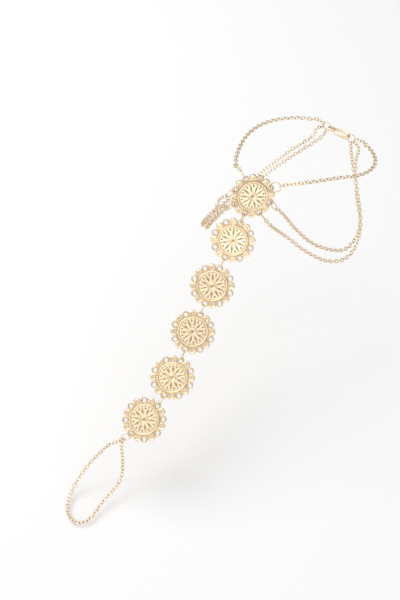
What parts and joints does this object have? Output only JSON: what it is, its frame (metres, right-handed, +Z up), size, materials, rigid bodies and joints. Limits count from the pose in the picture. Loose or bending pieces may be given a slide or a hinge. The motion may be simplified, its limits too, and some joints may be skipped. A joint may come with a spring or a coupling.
{
  "type": "barefoot sandal anklet",
  "caption": "Barefoot sandal anklet: pierced rosette medallions linked down the instep, from an ankle chain with side swags to a chain loop for the second toe.",
  "frame": {"origin": "middle of the ankle loop, at the level of the rings that gather the chains behind the ankle", "axes": "+Z up the leg, -Y toward the toes, +X toward the outer side of the left foot"},
  "size_m": [0.07, 0.2164, 0.1239],
  "materials": {
    "gold": "polished pale gold plating over cast metal"
  },
  "bodies": {
    "root": {"medallion_1": "gold", "medallion_2": "gold", "medallion_3": "gold", "medallion_4": "gold", "medallion_5": "gold", "medallion_6": "gold", "link_ring_1_2": "gold", "link_ring_2_3": "gold", "link_ring_3_4": "gold", "link_ring_4_5": "gold", "link_ring_5_6": "gold", "ankle_ring_left": "gold", "ankle_ring_right": "gold", "swag_ring_left_upper": "gold", "swag_ring_left_lower": "gold", "swag_ring_right_upper": "gold", "swag_ring_right_lower": "gold", "end_ring_left": "gold", "end_ring_right": "gold", "toe_ring": "gold", "ankle_chain_left": "gold", "ankle_chain_right": "gold", "swag_left_upper": "gold", "swag_left_lower": "gold", "swag_right_upper": "gold", "swag_right_lower": "gold", "toe_chain": "gold", "clasp": "gold"}
  },
  "joints": []
}
